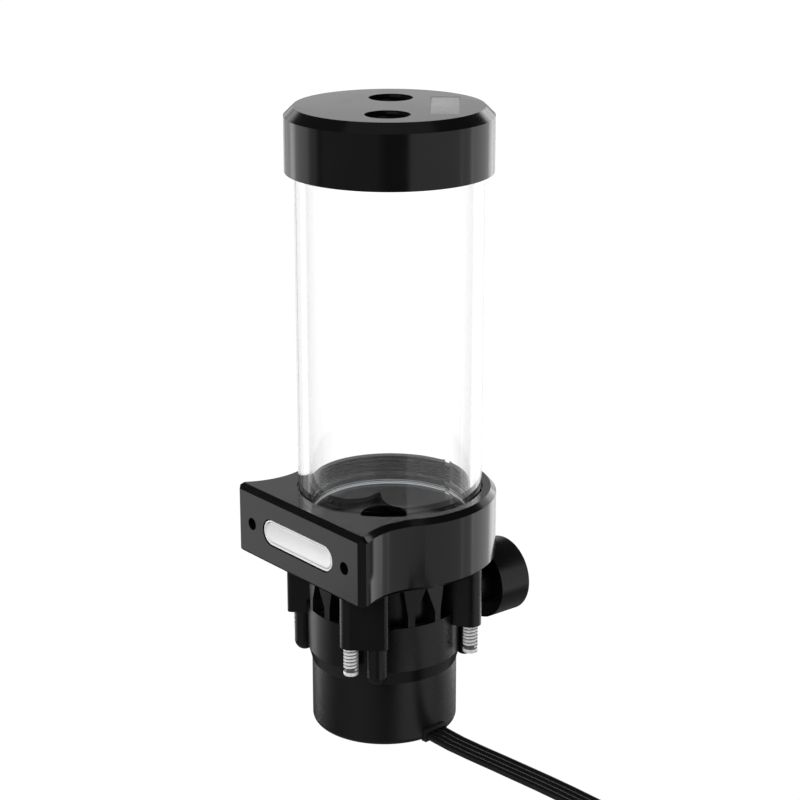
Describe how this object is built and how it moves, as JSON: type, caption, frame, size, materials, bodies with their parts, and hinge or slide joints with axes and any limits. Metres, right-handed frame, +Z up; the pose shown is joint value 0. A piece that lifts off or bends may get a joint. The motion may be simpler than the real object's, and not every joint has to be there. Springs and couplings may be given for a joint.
{
  "type": "coolant pump reservoir",
  "caption": "Small coolant pump with a clear screw-on tube reservoir, a ported top cap, a side mounting plate, mounting studs and a flat lead",
  "frame": {"origin": "centre of the motor's flat foot, on the pump's axis", "axes": "+Z up along the pump axis, -Y out of the face of the mounting plate, +X towards the side where the lead leaves"},
  "size_m": [0.1843, 0.1177, 0.1725],
  "materials": {
    "black_acetal": "satin, turned",
    "label_grey": "satin",
    "seal_rubber": "matte",
    "clear_acrylic": "polished",
    "badge_metal": "satin with a raised rim",
    "moulded_black": "moulded, fine satin",
    "rotor_plastic": "moulded",
    "magnet_grey": "ground ferrite",
    "carbon": "pressed carbon",
    "ceramic_white": "ground ceramic",
    "bright_steel": "bright zinc",
    "separator_grey": "moulded",
    "core_steel": "stacked sheet",
    "bobbin_white": "moulded",
    "copper_wire": "enamelled winding",
    "board_green": "solder mask",
    "board_part_black": "moulded",
    "cable_black": "satin insulation",
    "connector_black": "moulded",
    "terminal_tin": "tinned"
  },
  "bodies": {
    "pump": {"base_block": "black_acetal", "badge_plate": "badge_metal", "spigot_o_ring": "seal_rubber", "volute_housing": "moulded_black", "separator_o_ring": "seal_rubber", "rotor_shaft": "ceramic_white", "thrust_washers": "ceramic_white", "shaft_clip": "bright_steel", "separator_can": "separator_grey", "stator_core": "core_steel", "stator_bobbin": "bobbin_white", "stator_coils": "copper_wire", "circuit_board": "board_green", "board_parts": "board_part_black", "motor_housing": "moulded_black", "mounting_studs": "bright_steel", "housing_screws": "bright_steel", "cable_grommet": "seal_rubber", "cable": "cable_black", "cable_coil": "cable_black", "cable_tie": "cable_black", "cable_connector": "connector_black", "connector_terminals": "terminal_tin"},
    "rotor": {"impeller": "rotor_plastic", "rotor_sleeve": "rotor_plastic", "rotor_magnet": "magnet_grey", "bearing_bushes": "carbon"},
    "tube_seal": {"tube_o_ring": "seal_rubber"},
    "tube": {"reservoir_tube": "clear_acrylic"},
    "cap_seal": {"cap_o_ring": "seal_rubber"},
    "cap": {"top_cap": "black_acetal", "cap_label_plate": "label_grey"}
  },
  "joints": [
    {"name": "rotor_spin", "type": "hinge", "parent": "pump", "child": "rotor", "pos_m": [0, 0, 0.03], "axis": [0, 0, 1], "continuous": true},
    {"name": "tube_rise", "type": "slide", "parent": "pump", "child": "tube_seal", "axis": [0, 0, 1], "range_m": [0, 0.0075]},
    {"name": "tube_twist", "type": "hinge", "parent": "tube_seal", "child": "tube", "pos_m": [0, 0.0021, 0.0625], "axis": [0, 0, 1], "range_deg": [0, 1800]},
    {"name": "cap_rise", "type": "slide", "parent": "tube", "child": "cap_seal", "axis": [0, 0, 1], "range_m": [0, 0.0075]},
    {"name": "cap_twist", "type": "hinge", "parent": "cap_seal", "child": "cap", "pos_m": [0, 0.0021, 0.164], "axis": [0, 0, 1], "range_deg": [0, 1800]}
  ],
  "couplings": [
    {"joint": "tube_rise", "follows": "tube_twist", "m_per_rad": 0.00023873},
    {"joint": "cap_rise", "follows": "cap_twist", "m_per_rad": 0.00023873}
  ]
}
